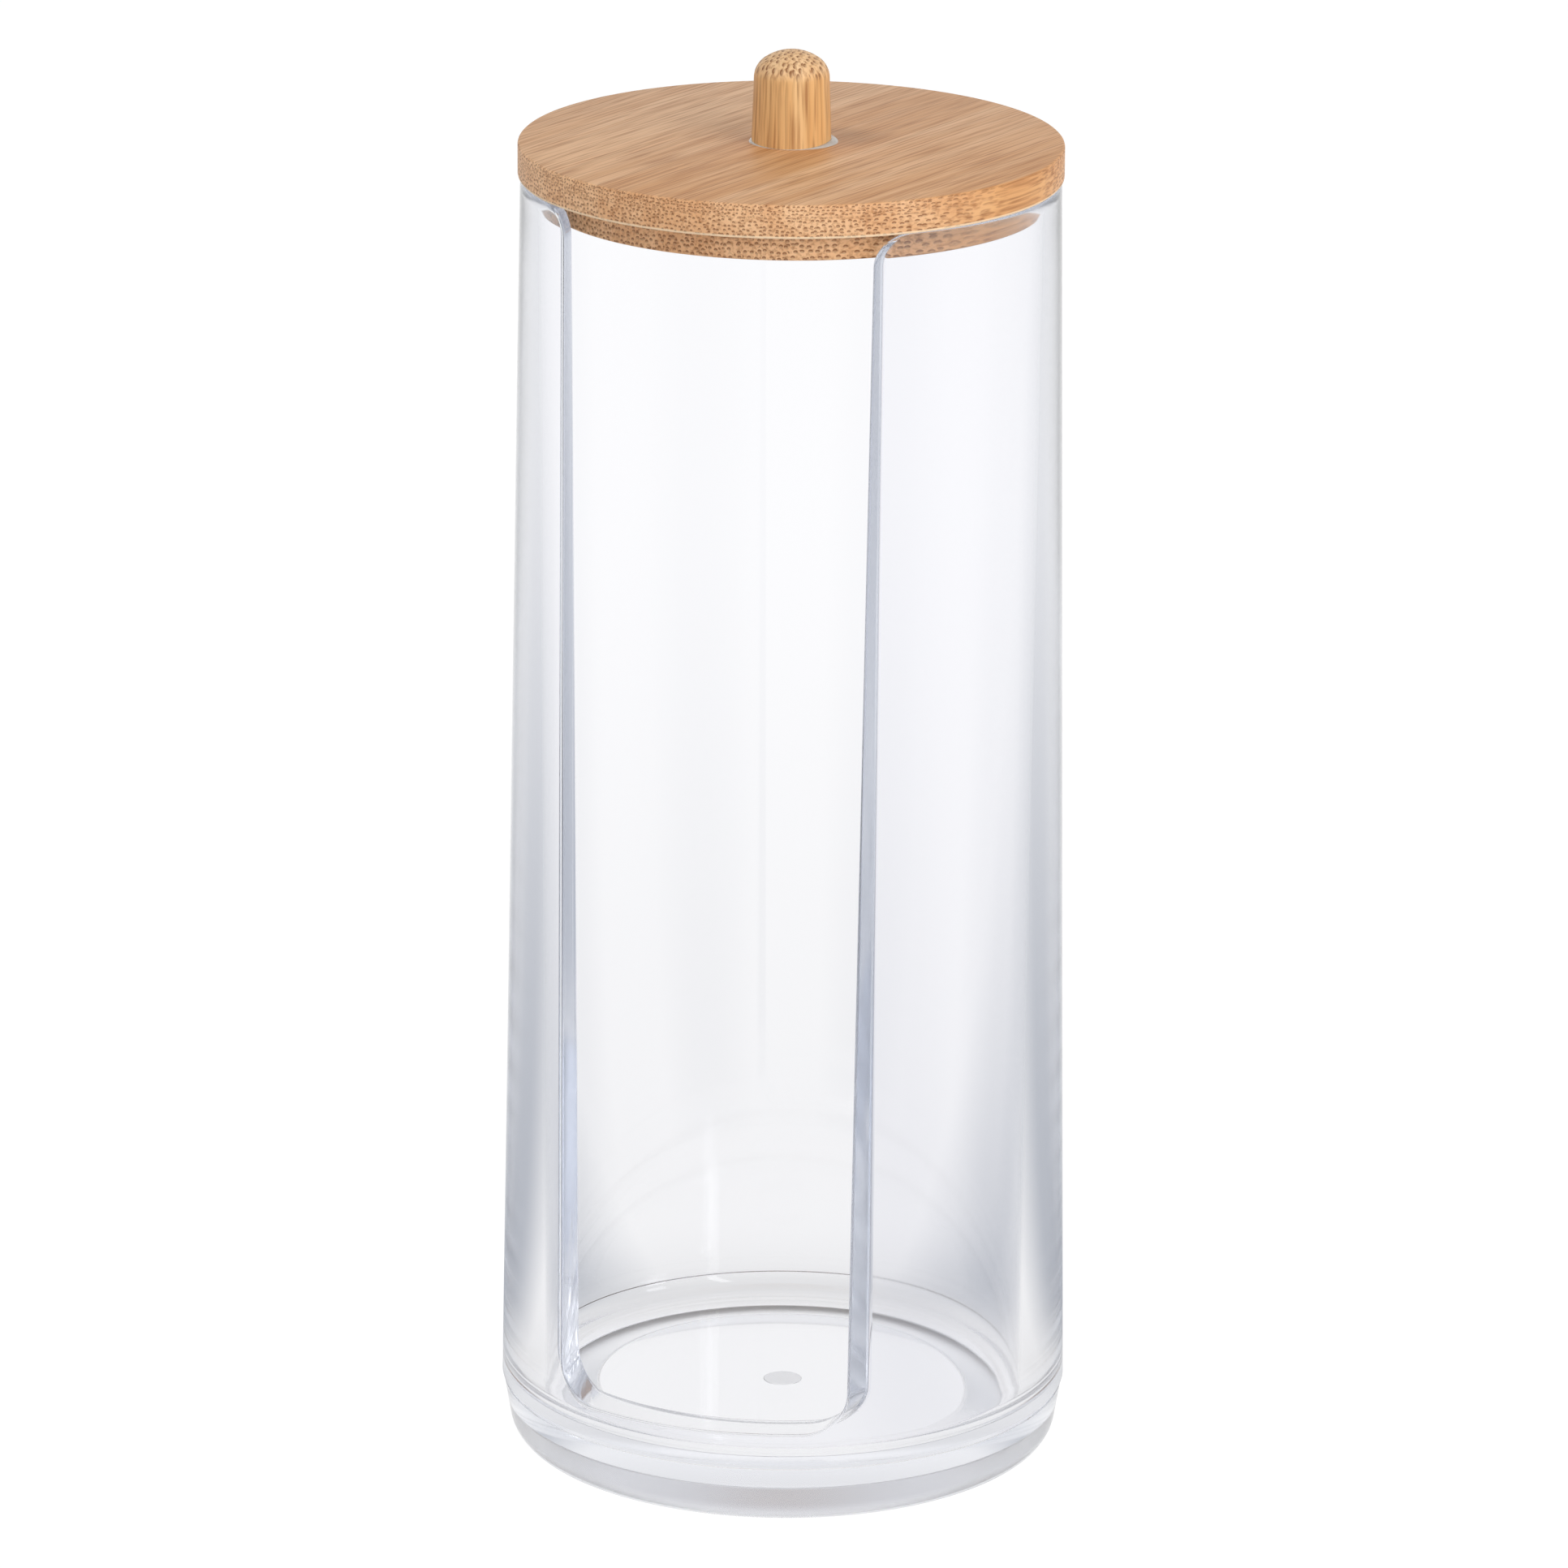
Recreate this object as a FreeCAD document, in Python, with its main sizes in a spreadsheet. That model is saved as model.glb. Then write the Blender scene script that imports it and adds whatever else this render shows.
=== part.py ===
# Cotton pad holder: a clear moulded tube with a dispensing slot down its front,
# closed by a lift-off bamboo lid that has a dowel knob glued into it.
# Millimetres, +Z up, origin at the centre of the foot, slot facing -Y.

import FreeCAD, Part
import math
import os
import Sketcher

# Driving dimensions: name, value and what it measures.
DIMENSIONS = [
    ("rim_height", 171.2, "top of the tube above the table"),
    ("rim_bore", 65.0, "inside diameter at the rim"),
    ("rim_wall", 2.2, "wall at the rim"),
    ("floor_height", 8.05, "top of the floor above the table"),
    ("floor_bore", 63.4, "inside diameter at the floor"),
    ("floor_round", 2.9, "inside corner between wall and floor"),
    ("seam_height", 8.8, "mould parting line above the table"),
    ("seam_wall", 5.55, "wall at the parting line, beside the floor bore"),
    ("seam_step", 0.1, "the lower mould half is smaller by this much all round"),
    ("base_inset", 1.45, "how far the base draws in from the parting line to the table"),
    ("foot_round", 3.6, "outside corner of the foot"),
    ("recess_mouth", 60.6, "diameter of the hollow under the floor, at the table"),
    ("recess_bore", 49.2, "diameter of that hollow at its ceiling"),
    ("recess_depth", 3.5, "depth of that hollow"),
    ("recess_round", 0.8, "corner between its ceiling and its sloping side"),
    ("gate_bore", 5.1, "diameter of the gate mark under the floor"),
    ("gate_depth", 0.2, "depth of the gate mark"),
    ("slot_mouth", 41.0, "slot width at the rim"),
    ("slot_base", 39.0, "slot width at the sill"),
    ("sill_height", 13.1, "bottom of the slot above the table"),
    ("sill_round", 5.0, "inside corners at the sill"),
    ("mouth_round", 4.0, "outside corners where the slot meets the rim"),
    ("edge_round", 0.5, "rounded edges of the rim and the slot"),
    ("lid_overhang", 0.3, "how far the lid stands out past the rim"),
    ("lid_thickness", 4.4, "lid above the rim"),
    ("lid_bevel", 0.35, "broken edges of the lid"),
    ("plug_depth", 3.5, "step of the lid that drops into the tube"),
    ("plug_clearance", 0.5, "gap between that step and the bore, each side"),
    ("knob_foot", 10.2, "knob diameter at the lid"),
    ("knob_tip", 9.7, "knob diameter at its shoulder"),
    ("knob_height", 11.9, "knob above the lid"),
    ("knob_crown", 6.2, "radius of the knob's rounded top"),
    ("knob_shoulder", 3.0, "radius between the top and the side"),
    ("socket_depth", 5.0, "hole in the lid that takes the knob"),
    ("socket_clearance", 0.1, "glue gap round the knob in its hole"),
    ("bead_width", 1.0, "squeezed-out glue round the knob"),
    ("bead_height", 0.45, "height of that glue"),
]

NEAR = 0.001  # two places closer than this are the same place

doc = FreeCAD.newDocument("cotton_pad_holder")
sheet = doc.addObject("Spreadsheet::Sheet", "Sizes")
for row, (name, size, meaning) in enumerate(DIMENSIONS, start=1):
    sheet.set(f"A{row}", meaning)
    sheet.set(f"B{row}", str(size))
    sheet.setAlias(f"B{row}", name)
doc.recompute()


def value(expression):
    """The number that an expression on the sheet gives now."""
    return float(sheet.evalExpression(expression))


def new_body(label, height="0"):
    """An empty body whose own origin stands at the given height on the axis."""
    body = doc.addObject("PartDesign::Body", label)
    body.Label = label
    body.setExpression("Placement.Base.z", height)
    return body


def origin_plane(body, role):
    """One of the body's own planes, by its role."""
    return next(item for item in body.Origin.OriginFeatures if item.Role == role)


def new_sketch(body, name):
    """A sketch in the body's upright X-Z plane: sketch X is across, sketch Y is up."""
    sketch = body.newObject("Sketcher::SketchObject", name)
    sketch.AttachmentSupport = [(origin_plane(body, "XZ_Plane"), "")]
    sketch.MapMode = "FlatFace"
    return sketch


def pin_point(sketch, line, end, across, up):
    """Hold one end of a line at a place given by two expressions."""
    for kind, axis, expression in (("DistanceX", -2, across), ("DistanceY", -1, up)):
        if expression == "0":
            sketch.addConstraint(Sketcher.Constraint("PointOnObject", line, end, axis))
            continue
        number = sketch.addConstraint(
            Sketcher.Constraint(kind, -1, 1, line, end, value(expression)))
        sketch.setExpression(f"Constraints[{number}]", expression)


def draw_outline(sketch, corners):
    """A closed outline of straight lines through corners given as pairs of expressions."""
    points = [FreeCAD.Vector(value(across), value(up), 0) for across, up in corners]
    for start, end in zip(points, points[1:] + points[:1]):
        sketch.addGeometry(Part.LineSegment(start, end))
    for line, (across, up) in enumerate(corners):
        before = (line - 1) % len(corners)
        sketch.addConstraint(Sketcher.Constraint("Coincident", before, 2, line, 1))
        pin_point(sketch, line, 1, across, up)


def turn(body, sketch, name):
    """Revolve an outline a full turn about the upright axis."""
    solid = body.newObject("PartDesign::Revolution", name)
    solid.Profile = sketch
    solid.ReferenceAxis = (sketch, ["V_Axis"])
    solid.Angle = 360
    doc.recompute()
    return solid


def find_edges(feature, fits):
    """Names of the edges of a feature that fit a test."""
    edges = feature.Shape.Edges
    found = [f"Edge{number}" for number, edge in enumerate(edges, start=1) if fits(edge)]
    if not found:
        raise RuntimeError(f"{feature.Name}: no such edge")
    return found


def ring(radius, height):
    """Test for an edge that runs round the axis at a radius and a height, in the body's frame."""
    def fits(edge):
        ends = [vertex.Point for vertex in edge.Vertexes]
        middle = edge.valueAt((edge.FirstParameter + edge.LastParameter) / 2)
        return all(abs(point.z - height) < NEAR and abs(point.x**2 + point.y**2 - radius**2) < NEAR
                   for point in ends + [middle])
    return fits


def dress(body, kind, name, base, edges, size_name, size):
    """Round or bevel some edges by a size from the sheet."""
    feature = body.newObject(f"PartDesign::{kind}", name)
    feature.Base = (base, edges)
    feature.setExpression(size_name, size)
    doc.recompute()
    return feature


# Radii that several pieces share, as expressions on the sheet.
RIM_OUTSIDE = "Sizes.rim_bore / 2 + Sizes.rim_wall"
SEAM_OUTSIDE = "Sizes.floor_bore / 2 + Sizes.seam_wall"
BASE_TOP = f"{SEAM_OUTSIDE} - Sizes.seam_step"
FOOT_OUTSIDE = f"{BASE_TOP} - Sizes.base_inset"
LID_OUTSIDE = f"{RIM_OUTSIDE} + Sizes.lid_overhang"
PLUG_OUTSIDE = "Sizes.rim_bore / 2 - Sizes.plug_clearance"
SOCKET_WALL = "Sizes.knob_foot / 2 + Sizes.socket_clearance"
SHOULDER_HEIGHT = ("Sizes.knob_height - Sizes.knob_crown"
                   " + sqrt(Sizes.knob_crown^2 - (Sizes.knob_tip / 2)^2)")


def build_holder_body():
    """The clear moulding: a drafted tube, a thick floor hollowed from below, and the slot."""
    body = new_body("holder_body")
    outline = new_sketch(body, "tube_outline")
    gate_top = "Sizes.recess_depth + Sizes.gate_depth"
    draw_outline(outline, [
        ("0", gate_top),
        ("Sizes.gate_bore / 2", gate_top),
        ("Sizes.gate_bore / 2", "Sizes.recess_depth"),
        ("Sizes.recess_bore / 2", "Sizes.recess_depth"),
        ("Sizes.recess_mouth / 2", "0"),
        (FOOT_OUTSIDE, "0"),
        (BASE_TOP, "Sizes.seam_height"),
        (SEAM_OUTSIDE, "Sizes.seam_height"),
        (RIM_OUTSIDE, "Sizes.rim_height"),
        ("Sizes.rim_bore / 2", "Sizes.rim_height"),
        ("Sizes.floor_bore / 2", "Sizes.floor_height"),
        ("0", "Sizes.floor_height"),
    ])
    tube = turn(body, outline, "tube")
    foot_edge = find_edges(tube, ring(value(FOOT_OUTSIDE), 0))
    foot = dress(body, "Fillet", "foot_corner", tube, foot_edge, "Radius", "Sizes.foot_round")
    recess_edge = find_edges(foot, ring(value("Sizes.recess_bore / 2"), value("Sizes.recess_depth")))
    hollow = dress(body, "Fillet", "recess_corner", foot, recess_edge, "Radius", "Sizes.recess_round")
    floor_edge = find_edges(hollow, ring(value("Sizes.floor_bore / 2"), value("Sizes.floor_height")))
    cup = dress(body, "Fillet", "floor_corner", hollow, floor_edge, "Radius", "Sizes.floor_round")
    slotted = cut_slot(body, cup)
    rim = value("Sizes.rim_height")
    rim_edges = find_edges(slotted, ring(value(RIM_OUTSIDE), rim))
    rim_edges += find_edges(slotted, ring(value("Sizes.rim_bore / 2"), rim))
    dress(body, "Fillet", "rim_and_slot_edges", slotted, rim_edges, "Radius", "Sizes.edge_round")
    return body


def draw_half_slot(sketch):
    """Right half of the slot: the sill, its round corner, the side, and the round corner at the rim."""
    base = FreeCAD.Vector(value("Sizes.slot_base / 2"), value("Sizes.sill_height"), 0)
    mouth = FreeCAD.Vector(value("Sizes.slot_mouth / 2"), value("Sizes.rim_height"), 0)
    sill_round = value("Sizes.sill_round")
    mouth_round = value("Sizes.mouth_round")
    lean = math.atan2(mouth.x - base.x, mouth.y - base.y)
    outward = FreeCAD.Vector(math.cos(lean), -math.sin(lean), 0)
    up = FreeCAD.Vector(0, 1, 0)
    reach = (1 - math.sin(lean)) / math.cos(lean)
    sill_end = base - FreeCAD.Vector(sill_round * reach, 0, 0)
    sill_centre = sill_end + up * sill_round
    rim_start = mouth + FreeCAD.Vector(mouth_round * reach, 0, 0)
    mouth_centre = rim_start - up * mouth_round
    top_end = rim_start + up * mouth_round
    axis_top = FreeCAD.Vector(0, top_end.y, 0)
    axis_sill = FreeCAD.Vector(0, base.y, 0)
    inside = Part.Circle(sill_centre, FreeCAD.Vector(0, 0, 1), sill_round)
    outside = Part.Circle(mouth_centre, FreeCAD.Vector(0, 0, 1), mouth_round)
    quarter = math.pi / 2

    sill = sketch.addGeometry(Part.LineSegment(axis_sill, sill_end))
    sill_corner = sketch.addGeometry(Part.ArcOfCircle(inside, -quarter, -lean))
    side = sketch.addGeometry(
        Part.LineSegment(sill_centre + outward * sill_round, mouth_centre - outward * mouth_round))
    mouth_corner = sketch.addGeometry(Part.ArcOfCircle(outside, quarter, 2 * quarter - lean))
    rise = sketch.addGeometry(Part.LineSegment(rim_start, top_end))
    top = sketch.addGeometry(Part.LineSegment(top_end, axis_top))
    middle = sketch.addGeometry(Part.LineSegment(axis_top, axis_sill))
    slope = sketch.addGeometry(Part.LineSegment(base, mouth), True)

    pin_point(sketch, slope, 1, "Sizes.slot_base / 2", "Sizes.sill_height")
    pin_point(sketch, slope, 2, "Sizes.slot_mouth / 2", "Sizes.rim_height")
    pin_point(sketch, sill, 1, "0", "Sizes.sill_height")
    pin_point(sketch, middle, 1, "0", "Sizes.rim_height + Sizes.mouth_round")
    for rule in (
        ("Horizontal", sill),
        ("Tangent", sill, 2, sill_corner, 1),
        ("Tangent", sill_corner, 2, side, 1),
        ("PointOnObject", side, 1, slope),
        ("PointOnObject", side, 2, slope),
        ("Tangent", side, 2, mouth_corner, 2),
        ("Coincident", mouth_corner, 1, rise, 1),
        ("Vertical", mouth_corner, 3, mouth_corner, 1),
        ("Vertical", rise),
        ("Coincident", rise, 2, top, 1),
        ("Horizontal", top),
        ("Coincident", top, 2, middle, 1),
        ("Coincident", middle, 2, sill, 1),
    ):
        sketch.addConstraint(Sketcher.Constraint(*rule))
    for corner, size in ((sill_corner, "Sizes.sill_round"), (mouth_corner, "Sizes.mouth_round")):
        number = sketch.addConstraint(Sketcher.Constraint("Radius", corner, value(size)))
        sketch.setExpression(f"Constraints[{number}]", size)
    number = sketch.addConstraint(
        Sketcher.Constraint("DistanceY", -1, 1, mouth_corner, 1, value("Sizes.rim_height")))
    sketch.setExpression(f"Constraints[{number}]", "Sizes.rim_height")


def cut_slot(body, cup):
    """Cut half of the slot forward from the axis, then mirror the cut."""
    sketch = new_sketch(body, "half_slot_outline")
    draw_half_slot(sketch)
    half = body.newObject("PartDesign::Pocket", "half_slot")
    half.Profile = sketch
    half.Type = "ThroughAll"
    half.Reversed = True
    doc.recompute()
    both = body.newObject("PartDesign::Mirrored", "slot")
    both.Originals = [half]
    both.MirrorPlane = (origin_plane(body, "YZ_Plane"), [""])
    body.Tip = both
    doc.recompute()
    if not both.Shape.Volume < half.Shape.Volume < cup.Shape.Volume:
        raise RuntimeError("the slot cuts nothing")
    return both


def build_lid():
    """One bamboo board, turned to a disc with a step below and a blind hole for the knob."""
    body = new_body("lid", "Sizes.rim_height")
    outline = new_sketch(body, "lid_outline")
    socket_floor = "Sizes.lid_thickness - Sizes.socket_depth"
    draw_outline(outline, [
        ("0", socket_floor),
        (SOCKET_WALL, socket_floor),
        (SOCKET_WALL, "Sizes.lid_thickness"),
        (LID_OUTSIDE, "Sizes.lid_thickness"),
        (LID_OUTSIDE, "0"),
        (PLUG_OUTSIDE, "0"),
        (PLUG_OUTSIDE, "-Sizes.plug_depth"),
        ("0", "-Sizes.plug_depth"),
    ])
    disc = turn(body, outline, "lid_disc")
    outside = value(LID_OUTSIDE)
    edges = find_edges(disc, ring(outside, value("Sizes.lid_thickness")))
    edges += find_edges(disc, ring(outside, 0))
    edges += find_edges(disc, ring(value(PLUG_OUTSIDE), -value("Sizes.plug_depth")))
    dress(body, "Chamfer", "lid_edges", disc, edges, "Size", "Sizes.lid_bevel")
    return body


def build_knob():
    """A tapered dowel with a rounded top; its foot stands on the floor of its hole in the lid."""
    body = new_body("knob", "Sizes.rim_height + Sizes.lid_thickness")
    sketch = new_sketch(body, "knob_outline")
    foot = value("Sizes.knob_foot / 2")
    tip = value("Sizes.knob_tip / 2")
    crown = value("Sizes.knob_crown")
    shoulder = value(SHOULDER_HEIGHT)
    top = FreeCAD.Vector(0, value("Sizes.knob_height"), 0)
    bottom = FreeCAD.Vector(0, -value("Sizes.socket_depth"), 0)
    heel = FreeCAD.Vector(foot, bottom.y, 0)
    lid_line = FreeCAD.Vector(foot, 0, 0)
    corner = FreeCAD.Vector(tip, shoulder, 0)
    centre = FreeCAD.Vector(0, top.y - crown, 0)
    dome = Part.Circle(centre, FreeCAD.Vector(0, 0, 1), crown)
    dome_start = math.atan2(corner.y - centre.y, corner.x)

    axis = sketch.addGeometry(Part.LineSegment(top, bottom))
    end_face = sketch.addGeometry(Part.LineSegment(bottom, heel))
    in_lid = sketch.addGeometry(Part.LineSegment(heel, lid_line))
    side = sketch.addGeometry(Part.LineSegment(lid_line, corner))
    arc = sketch.addGeometry(Part.ArcOfCircle(dome, dome_start, math.pi / 2))
    pin_point(sketch, axis, 1, "0", "Sizes.knob_height")
    pin_point(sketch, axis, 2, "0", "-Sizes.socket_depth")
    pin_point(sketch, end_face, 2, "Sizes.knob_foot / 2", "-Sizes.socket_depth")
    pin_point(sketch, in_lid, 2, "Sizes.knob_foot / 2", "0")
    pin_point(sketch, side, 2, "Sizes.knob_tip / 2", SHOULDER_HEIGHT)
    for rule in (
        ("Coincident", axis, 2, end_face, 1),
        ("Coincident", end_face, 2, in_lid, 1),
        ("Coincident", in_lid, 2, side, 1),
        ("Coincident", side, 2, arc, 1),
        ("Coincident", arc, 2, axis, 1),
        ("PointOnObject", arc, 3, -2),
    ):
        sketch.addConstraint(Sketcher.Constraint(*rule))
    dowel = turn(body, sketch, "dowel")
    shoulder_edge = find_edges(dowel, ring(tip, shoulder))
    dress(body, "Fillet", "shoulder", dowel, shoulder_edge, "Radius", "Sizes.knob_shoulder")
    return body


def build_glue_bead():
    """The ring of cured glue that lies on the lid against the knob's tapered side."""
    body = new_body("glue_bead", "Sizes.rim_height + Sizes.lid_thickness")
    outline = new_sketch(body, "bead_outline")
    knob_draw = f"(Sizes.knob_foot - Sizes.knob_tip) / 2 * Sizes.bead_height / ({SHOULDER_HEIGHT})"
    draw_outline(outline, [
        ("Sizes.knob_foot / 2", "0"),
        ("Sizes.knob_foot / 2 + Sizes.bead_width", "0"),
        (f"Sizes.knob_foot / 2 - {knob_draw}", "Sizes.bead_height"),
    ])
    turn(body, outline, "bead")
    return body


sub_parts = [build_holder_body(), build_lid(), build_knob(), build_glue_bead()]
doc.recompute()

for item in doc.Objects:
    if "Invalid" in item.State or "Error" in item.State:
        raise RuntimeError(f"{item.Name}: {item.State}")
for part in sub_parts:
    if part.Shape.isNull() or not part.Shape.isValid():
        raise RuntimeError(f"{part.Label}: the shape is not valid")

os.makedirs("parts", exist_ok=True)
for part in sub_parts:
    part.Shape.exportStep(f"parts/{part.Label}.step")
    box = part.Shape.optimalBoundingBox(False)
    print(f"{part.Label}: {len(part.Shape.Solids)} solid, {part.Shape.Volume:.1f} mm3, "
          f"{box.XLength:.2f} x {box.YLength:.2f} x {box.ZLength:.2f} mm, from z {box.ZMin:.2f}")
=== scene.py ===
# %% [markdown]
# # A clear cotton pad holder with a bamboo lid
# The holder is a tall, clear moulded tube with a slot down its front. Cotton pads are stacked in
# from the top and pulled out through the slot. A turned bamboo lid with a small knob closes it.
# The measured solids come first. They are the fixed frame: every piece below is modelled over one
# of them, at the same place and size, and takes over from it in the picture. Lengths are written
# in millimetres and multiplied by MM, because Blender counts in metres.

# %% Load the measured solids
import math

import bmesh
import bpy
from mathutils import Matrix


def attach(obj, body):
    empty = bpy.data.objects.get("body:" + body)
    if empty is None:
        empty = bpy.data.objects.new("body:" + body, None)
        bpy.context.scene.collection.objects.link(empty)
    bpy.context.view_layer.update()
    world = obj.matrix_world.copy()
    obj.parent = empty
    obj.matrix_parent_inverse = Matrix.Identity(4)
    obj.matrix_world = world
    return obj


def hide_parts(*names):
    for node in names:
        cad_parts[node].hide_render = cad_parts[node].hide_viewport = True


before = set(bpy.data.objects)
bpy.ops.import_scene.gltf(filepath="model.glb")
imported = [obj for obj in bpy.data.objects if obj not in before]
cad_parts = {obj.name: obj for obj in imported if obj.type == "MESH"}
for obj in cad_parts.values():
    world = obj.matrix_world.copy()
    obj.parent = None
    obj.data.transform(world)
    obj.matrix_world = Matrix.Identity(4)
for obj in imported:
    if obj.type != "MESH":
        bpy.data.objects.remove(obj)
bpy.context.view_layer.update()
MM = 0.001


# %% [markdown]
# ## The camera
# The photo was taken from far away with a long lens: the sides of the tube hardly converge. The
# lens, distance and height below were worked out from the ellipses of the lid, the step under it
# and the base. The slot faces 19 degrees to the left of the camera. The camera is aimed by its
# angles and not by a constraint, because it also has a slight roll.

# %% Set up the camera
CAMERA_TURN = 19.0
CAMERA_REACH = 1174.9
CAMERA_HEIGHT = 451.5
CAMERA_PITCH = 72.878
CAMERA_AIM = 0.018
CAMERA_ROLL = 0.4008
LENS = 216.24
SENSOR = 36.0
turn = math.radians(CAMERA_TURN)
standpoint = (CAMERA_REACH * math.sin(turn), -CAMERA_REACH * math.cos(turn), CAMERA_HEIGHT)
bpy.ops.object.camera_add(location=[v * MM for v in standpoint])
camera = bpy.context.object
camera.name = "long_lens"
camera.rotation_euler = (math.radians(CAMERA_PITCH), 0, math.radians(CAMERA_TURN + CAMERA_AIM))
camera.rotation_euler.rotate_axis("Z", math.radians(CAMERA_ROLL))
camera.data.sensor_width = SENSOR
camera.data.lens = LENS
bpy.context.scene.camera = camera
print("camera at", [round(v) for v in standpoint], "mm, lens", LENS, "mm")

# %% [markdown]
# ## Helpers for modelling
# Modelling by operators means: select something, then act on it. One helper selects by a test on
# each part's place or normal. Another throws a round piece like a pot: it starts from a circle on
# the axis and extrudes it ring by ring along the outline. A spun outline would do as well, but
# rings keep every column of the mesh where it was put. A third smooths a finished piece.

# %% Helpers for selecting
RING_SLACK = 0.03


def choose(kind, test):
    """Select only the vertices, edges or faces of the piece in edit mode that pass the test."""
    bpy.ops.mesh.select_mode(type=kind)
    bpy.ops.mesh.select_all(action="DESELECT")
    shape = bmesh.from_edit_mesh(bpy.context.object.data)
    parts = {"VERT": shape.verts, "EDGE": shape.edges, "FACE": shape.faces}[kind]
    chosen = [part for part in parts if test(part)]
    for part in chosen:
        part.select_set(True)
    shape.select_flush_mode()
    bmesh.update_edit_mesh(bpy.context.object.data)
    return len(chosen)


def reach_of(point):
    """Distance of a point from the axis, in mm."""
    return math.hypot(point.x, point.y) / MM


def on_ring(radius, height):
    """A test for edges that lie on the ring of that radius and height, in mm."""
    return lambda edge: all(
        abs(reach_of(v.co) - radius) < RING_SLACK and abs(v.co.z / MM - height) < RING_SLACK
        for v in edge.verts)


def round_rings(rings):
    """Bevel each ring given by radius, height, width of the bevel and number of segments."""
    for radius, height, width, segments in rings:
        edges = choose("EDGE", on_ring(radius, height))
        bpy.ops.mesh.bevel(offset=width * MM, segments=segments, profile=0.5)
        print("rounded", edges, "edges at radius", round(radius, 2), "height", height)


# %% Helpers for turning and smoothing
def throw_rings(name, columns, rings):
    """Extrude a capped circle through the (radius, height) rings, in mm, and cap the last one."""
    radius, height = rings[0]
    bpy.ops.object.select_all(action="DESELECT")
    bpy.ops.mesh.primitive_circle_add(
        vertices=columns, radius=radius * MM, fill_type="NGON", location=(0, 0, height * MM))
    bpy.ops.object.transform_apply(location=True)
    piece = bpy.context.object
    piece.name = name
    bpy.ops.object.mode_set(mode="EDIT")
    bpy.ops.mesh.select_mode(type="EDGE")
    bpy.ops.mesh.select_all(action="SELECT")
    for wider, higher in rings[1:]:
        bpy.ops.mesh.extrude_edges_move(
            TRANSFORM_OT_translate={"value": (0, 0, (higher - height) * MM)})
        bpy.ops.transform.resize(value=(wider / radius, wider / radius, 1))
        radius, height = wider, higher
    bpy.ops.mesh.edge_face_add()
    return piece


def face_outwards():
    """Turn every face of the piece in edit mode outwards."""
    bpy.ops.mesh.select_all(action="SELECT")
    bpy.ops.mesh.normals_make_consistent(inside=False)


def smooth(angle=35):
    """Leave edit mode and shade smoothly across edges flatter than the angle in degrees."""
    bpy.ops.object.mode_set(mode="OBJECT")
    bpy.ops.object.shade_smooth_by_angle(angle=math.radians(angle))


# %% [markdown]
# ## The clear tube: its cup
# The tube, its floor and its base are one injection moulding. The wall is 2.2 mm thick at the rim
# and over 5 mm at the base, because the outside leans out for the mould while the bore hardly
# does. A parting line runs round it where the two halves of the mould met, here a fine groove,
# and below it the base tapers in to a rounded foot that is hollowed out from below. At the middle
# of the hollow is the mark of the gate, where the plastic flowed in. Clear pieces show every
# facet, so the rings have 600 columns, and the rows near the corners of the slot are placed where
# its arcs need them.

# %% Measures of the wall
RIM = 171.2
SEAM = 8.8
FLOOR = 8.05
RIM_RADIUS = 34.7
SEAM_RADIUS = 37.25
RIM_BORE = 32.5
FLOOR_BORE = 31.7


def outside(height):
    """Radius of the outer wall at a height above the parting line."""
    return SEAM_RADIUS + (RIM_RADIUS - SEAM_RADIUS) * (height - SEAM) / (RIM - SEAM)


def inside(height):
    """Radius of the bore."""
    return FLOOR_BORE + (RIM_BORE - FLOOR_BORE) * (height - FLOOR) / (RIM - FLOOR)


print("wall:", round(outside(RIM) - inside(RIM), 2), "mm at the rim,",
      round(outside(SEAM) - inside(SEAM), 2), "mm at the parting line")

# %% Work out the slot's outline
SILL = 13.1
SILL_HALF = 19.5
MOUTH_HALF = 20.5
SILL_ROUND = 5.0
MOUTH_ROUND = 4.0
COLUMNS = 600
SLOT_COLUMN = 57
SILL_STEPS = 9
MOUTH_STEPS = 7
SIDE_HEIGHTS = [22, 28, 36, 46, 58, 70, 82, 94, 106, 118, 130, 142, 152, 160]

lean = math.atan2(MOUTH_HALF - SILL_HALF, RIM - SILL)
tangent = (1 - math.sin(lean)) / math.cos(lean)
sill_centre = (SILL_HALF - SILL_ROUND * tangent, SILL + SILL_ROUND)
mouth_centre = (MOUTH_HALF + MOUTH_ROUND * tangent, RIM - MOUTH_ROUND)


def arc(centre, radius, first, sweep, steps):
    """Points on an arc, as (distance from the middle of the slot, height)."""
    angles = [first + sweep * step / steps for step in range(steps + 1)]
    return [(centre[0] + radius * math.cos(a), centre[1] + radius * math.sin(a)) for a in angles]


quarter = math.pi / 2 - lean
sill_arc = arc(sill_centre, SILL_ROUND, -math.pi / 2, quarter, 2 * SILL_STEPS)
mouth_arc = arc(mouth_centre, MOUTH_ROUND, math.pi - lean, -quarter, 2 * MOUTH_STEPS)
edge_line = sill_arc[SILL_STEPS + 1:]
edge_line += [(SILL_HALF + (h - SILL) * math.tan(lean), h) for h in SIDE_HEIGHTS]
edge_line += mouth_arc[:MOUTH_STEPS]
print("slot outline:", len(edge_line) + 2, "rows, middle of the sill's corner at",
      [round(v, 2) for v in sill_arc[SILL_STEPS]])

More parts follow.
